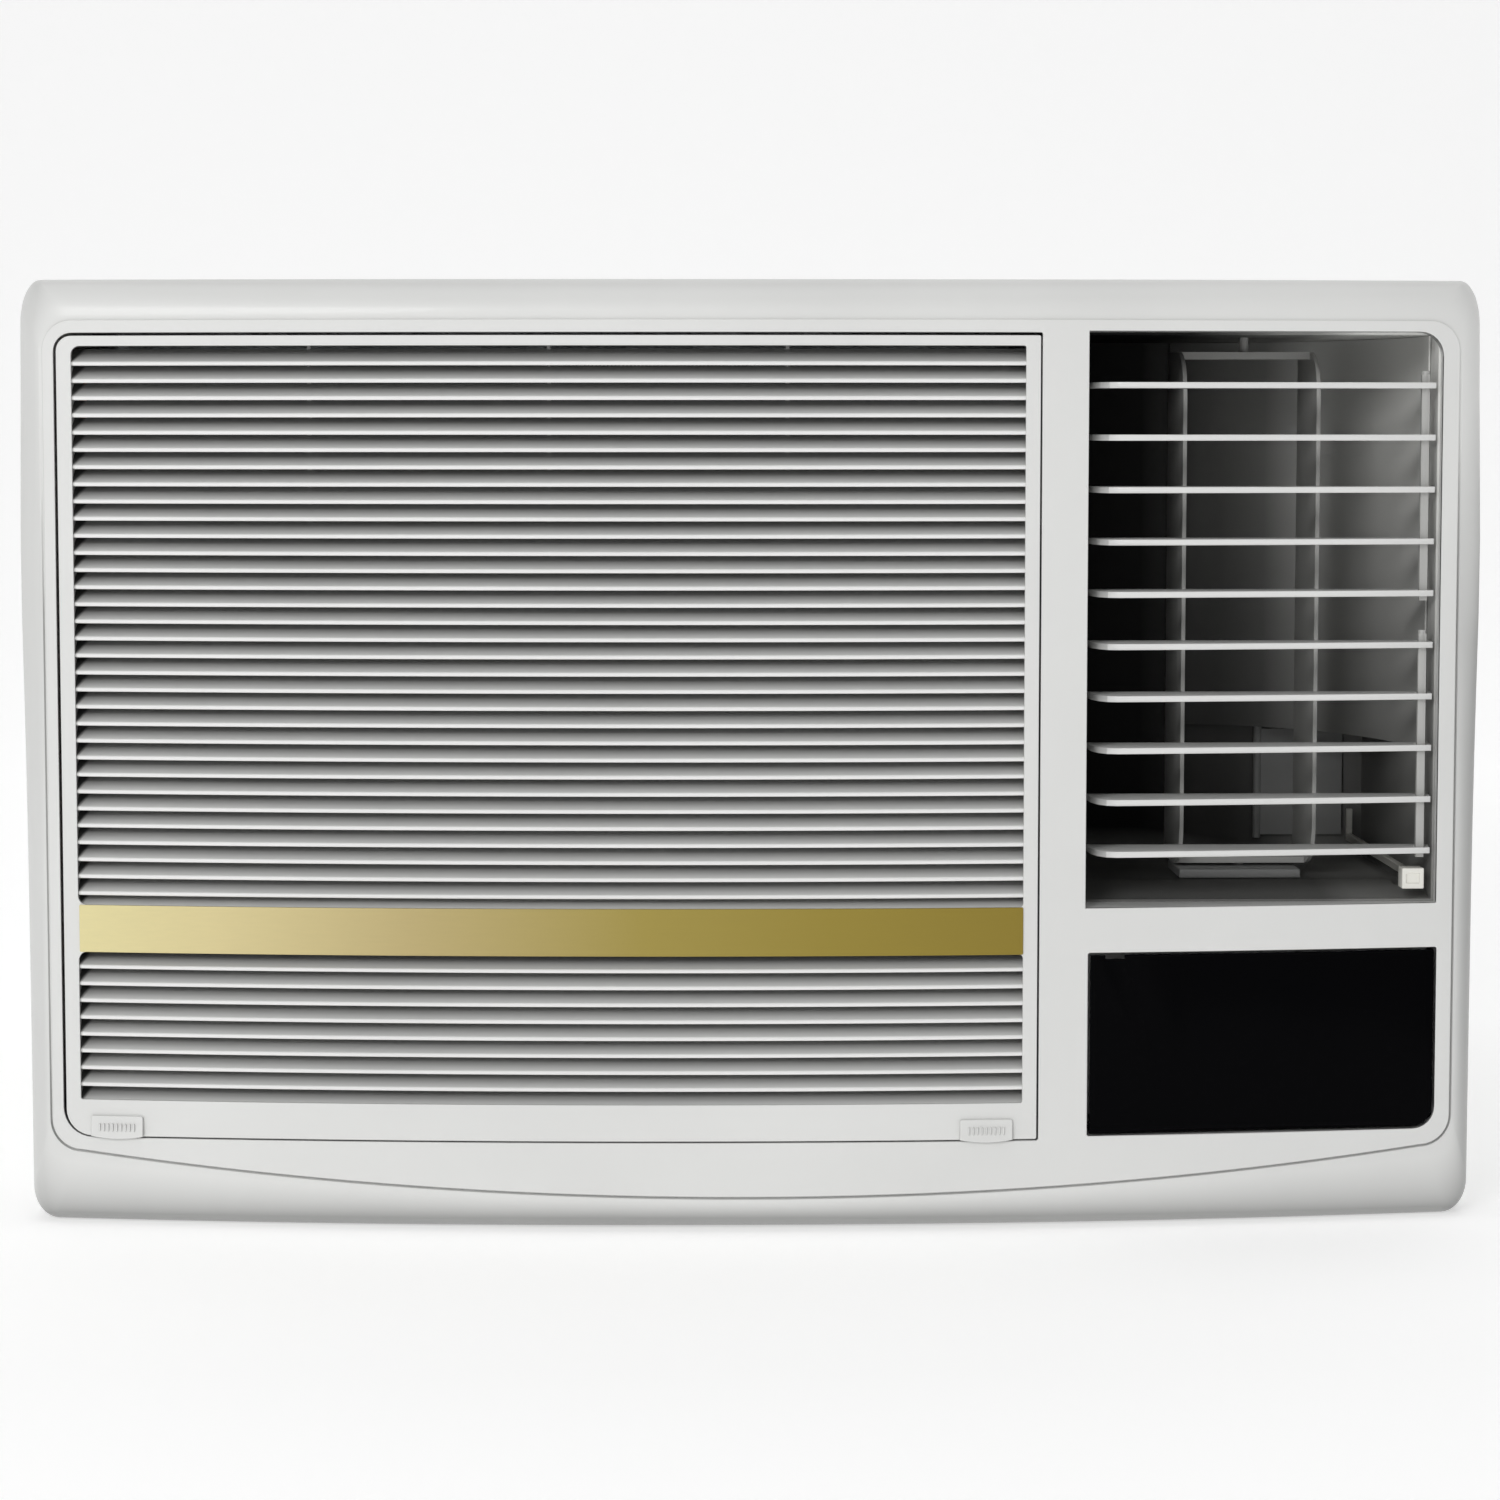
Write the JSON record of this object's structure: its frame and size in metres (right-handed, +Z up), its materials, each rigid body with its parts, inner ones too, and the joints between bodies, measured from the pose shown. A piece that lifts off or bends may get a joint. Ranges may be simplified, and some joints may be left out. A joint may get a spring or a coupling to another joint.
{
  "type": "window air conditioner",
  "caption": "Window air conditioner: bowed white front with a hinged slatted intake grille, gold band, louvred outlet and dark control door, in a metal case with coils, fans and compressor.",
  "frame": {"origin": "on the surface that the unit stands on, in the middle of its width and depth", "axes": "+Z up, +Y from the room side towards the outdoor side, +X to the right seen from the front"},
  "size_m": [0.66, 0.71, 0.43],
  "materials": {
    "white_plastic": "satin moulded ABS",
    "cream_plastic": "satin",
    "grey_plastic": "fine matt",
    "black_plastic": "matt",
    "black_gloss": "high gloss smoked",
    "gold": "satin metallised film",
    "painted_sheet": "fine texture powder coat",
    "zinc_sheet": "galvanised",
    "filter_mesh": "woven mesh",
    "fins": "pressed fins",
    "copper": "bare copper tube",
    "black_paint": "semi-gloss",
    "rubber": "matt",
    "steel": "ground",
    "circuit": "solder mask"
  },
  "bodies": {
    "cabinet": {"outer_case": "painted_sheet", "runner_left": "zinc_sheet", "runner_right": "zinc_sheet", "cord_grommet": "rubber"},
    "chassis": {"front_panel": "white_plastic", "outlet_duct": "grey_plastic", "swing_motor": "grey_plastic", "control_fascia": "white_plastic", "display_window": "black_gloss", "control_box": "zinc_sheet", "inverter_board": "circuit", "evaporator_coil": "fins", "blower_scroll": "grey_plastic", "inlet_ring": "zinc_sheet", "bulkhead": "zinc_sheet", "fan_motor": "black_paint", "motor_bracket": "zinc_sheet", "fan_shroud": "zinc_sheet", "condenser_coil": "fins", "compressor": "black_paint", "compressor_mount_1": "rubber", "compressor_mount_2": "rubber", "compressor_mount_3": "rubber", "accumulator": "black_paint", "discharge_pipe": "copper", "suction_pipe": "copper", "liquid_pipe": "copper", "base_pan": "zinc_sheet", "drain_plug": "rubber"},
    "grille": {"intake_grille": "white_plastic", "trim_band": "gold", "pull_tab_left": "white_plastic", "pull_tab_right": "white_plastic", "air_filter": "filter_mesh"},
    "link_upper": {"link_bar_upper": "white_plastic"},
    "link_lower": {"link_bar_lower": "white_plastic"},
    "vane": {"swing_vane": "grey_plastic"},
    "vent_slider": {"vent_knob": "cream_plastic"},
    "vent_flap": {"vent_flap": "grey_plastic"},
    "door": {"control_door": "black_gloss"},
    "fan": {"fan_shaft": "steel", "blower_wheel": "black_plastic", "condenser_fan": "black_plastic"},
    "louvre_01": {"louvre_01": "white_plastic"},
    "louvre_02": {"louvre_02": "white_plastic"},
    "louvre_03": {"louvre_03": "white_plastic"},
    "louvre_04": {"louvre_04": "white_plastic"},
    "louvre_05": {"louvre_05": "white_plastic"},
    "louvre_06": {"louvre_06": "white_plastic"},
    "louvre_07": {"louvre_07": "white_plastic"},
    "louvre_08": {"louvre_08": "white_plastic"},
    "louvre_09": {"louvre_09": "white_plastic"},
    "louvre_10": {"louvre_10": "white_plastic"},
    "button_power": {"button_power": "cream_plastic"},
    "button_mode": {"button_mode": "cream_plastic"},
    "button_fan_speed": {"button_fan_speed": "cream_plastic"},
    "button_warmer": {"button_warmer": "cream_plastic"},
    "button_cooler": {"button_cooler": "cream_plastic"}
  },
  "joints": [
    {"name": "chassis_slide", "type": "slide", "parent": "cabinet", "child": "chassis", "axis": [0, -1, 0], "range_m": [0, 0.35]},
    {"name": "grille_hinge", "type": "hinge", "parent": "chassis", "child": "grille", "pos_m": [-0.0925, -0.34589, 0.4082], "axis": [-0.999, 0.0438, 0], "range_deg": [0, 45]},
    {"name": "control_door_hinge", "type": "hinge", "parent": "chassis", "child": "door", "pos_m": [0.232, -0.33639, 0.0478], "axis": [0.994, 0.1093, 0], "range_deg": [0, 60]},
    {"name": "vane_swing", "type": "hinge", "parent": "chassis", "child": "vane", "pos_m": [0.232, -0.2592, 0.28], "axis": [0, 0, 1], "range_deg": [-30, 30]},
    {"name": "vent_pull", "type": "slide", "parent": "chassis", "child": "vent_slider", "axis": [0, -1, 0], "range_m": [0, 0.02]},
    {"name": "vent_flap_hinge", "type": "hinge", "parent": "chassis", "child": "vent_flap", "pos_m": [0.258, -0.1422, 0.185], "axis": [0, 0, -1], "range_deg": [0, 40]},
    {"name": "fan_spin", "type": "hinge", "parent": "chassis", "child": "fan", "pos_m": [-0.07, 0, 0.215], "axis": [0, 1, 0], "continuous": true},
    {"name": "louvre_01_pivot", "type": "hinge", "parent": "chassis", "child": "louvre_01", "pos_m": [0.231, -0.3142, 0.3824], "axis": [-1, 0, 0], "range_deg": [-20, 35]},
    {"name": "louvre_02_pivot", "type": "hinge", "parent": "chassis", "child": "louvre_02", "pos_m": [0.231, -0.3142, 0.35886], "axis": [-1, 0, 0], "range_deg": [-20, 35]},
    {"name": "louvre_03_pivot", "type": "hinge", "parent": "chassis", "child": "louvre_03", "pos_m": [0.231, -0.3142, 0.33532], "axis": [-1, 0, 0], "range_deg": [-20, 35]},
    {"name": "louvre_04_pivot", "type": "hinge", "parent": "chassis", "child": "louvre_04", "pos_m": [0.231, -0.3142, 0.31178], "axis": [-1, 0, 0], "range_deg": [-20, 35]},
    {"name": "louvre_05_pivot", "type": "hinge", "parent": "chassis", "child": "louvre_05", "pos_m": [0.231, -0.3142, 0.28824], "axis": [-1, 0, 0], "range_deg": [-20, 35]},
    {"name": "link_upper_pin", "type": "hinge", "parent": "louvre_01", "child": "link_upper", "pos_m": [0.3056, -0.3235, 0.3824], "axis": [-1, 0, 0], "range_deg": [-35, 20]},
    {"name": "louvre_06_pivot", "type": "hinge", "parent": "chassis", "child": "louvre_06", "pos_m": [0.231, -0.3142, 0.2647], "axis": [-1, 0, 0], "range_deg": [-20, 35]},
    {"name": "louvre_07_pivot", "type": "hinge", "parent": "chassis", "child": "louvre_07", "pos_m": [0.231, -0.3142, 0.24116], "axis": [-1, 0, 0], "range_deg": [-20, 35]},
    {"name": "louvre_08_pivot", "type": "hinge", "parent": "chassis", "child": "louvre_08", "pos_m": [0.231, -0.3142, 0.21762], "axis": [-1, 0, 0], "range_deg": [-20, 35]},
    {"name": "louvre_09_pivot", "type": "hinge", "parent": "chassis", "child": "louvre_09", "pos_m": [0.231, -0.3142, 0.19408], "axis": [-1, 0, 0], "range_deg": [-20, 35]},
    {"name": "louvre_10_pivot", "type": "hinge", "parent": "chassis", "child": "louvre_10", "pos_m": [0.231, -0.3142, 0.17054], "axis": [-1, 0, 0], "range_deg": [-20, 35]},
    {"name": "link_lower_pin", "type": "hinge", "parent": "louvre_06", "child": "link_lower", "pos_m": [0.3056, -0.3235, 0.2647], "axis": [-1, 0, 0], "range_deg": [-35, 20]},
    {"name": "button_power_press", "type": "slide", "parent": "chassis", "child": "button_power", "axis": [-0.1093, 0.994, 0], "range_m": [0, 0.001], "stiffness_N_per_m": 400},
    {"name": "button_mode_press", "type": "slide", "parent": "chassis", "child": "button_mode", "axis": [-0.1093, 0.994, 0], "range_m": [0, 0.001], "stiffness_N_per_m": 400},
    {"name": "button_fan_speed_press", "type": "slide", "parent": "chassis", "child": "button_fan_speed", "axis": [-0.1093, 0.994, 0], "range_m": [0, 0.001], "stiffness_N_per_m": 400},
    {"name": "button_warmer_press", "type": "slide", "parent": "chassis", "child": "button_warmer", "axis": [-0.1093, 0.994, 0], "range_m": [0, 0.001], "stiffness_N_per_m": 400},
    {"name": "button_cooler_press", "type": "slide", "parent": "chassis", "child": "button_cooler", "axis": [-0.1093, 0.994, 0], "range_m": [0, 0.001], "stiffness_N_per_m": 400}
  ],
  "couplings": [
    {"joint": "vent_flap_hinge", "follows": "vent_pull", "rad_per_m": 34.9},
    {"joint": "louvre_02_pivot", "follows": "louvre_01_pivot", "ratio": 1},
    {"joint": "louvre_03_pivot", "follows": "louvre_01_pivot", "ratio": 1},
    {"joint": "louvre_04_pivot", "follows": "louvre_01_pivot", "ratio": 1},
    {"joint": "louvre_05_pivot", "follows": "louvre_01_pivot", "ratio": 1},
    {"joint": "link_upper_pin", "follows": "louvre_01_pivot", "ratio": -1},
    {"joint": "louvre_07_pivot", "follows": "louvre_06_pivot", "ratio": 1},
    {"joint": "louvre_08_pivot", "follows": "louvre_06_pivot", "ratio": 1},
    {"joint": "louvre_09_pivot", "follows": "louvre_06_pivot", "ratio": 1},
    {"joint": "louvre_10_pivot", "follows": "louvre_06_pivot", "ratio": 1},
    {"joint": "link_lower_pin", "follows": "louvre_06_pivot", "ratio": -1}
  ]
}
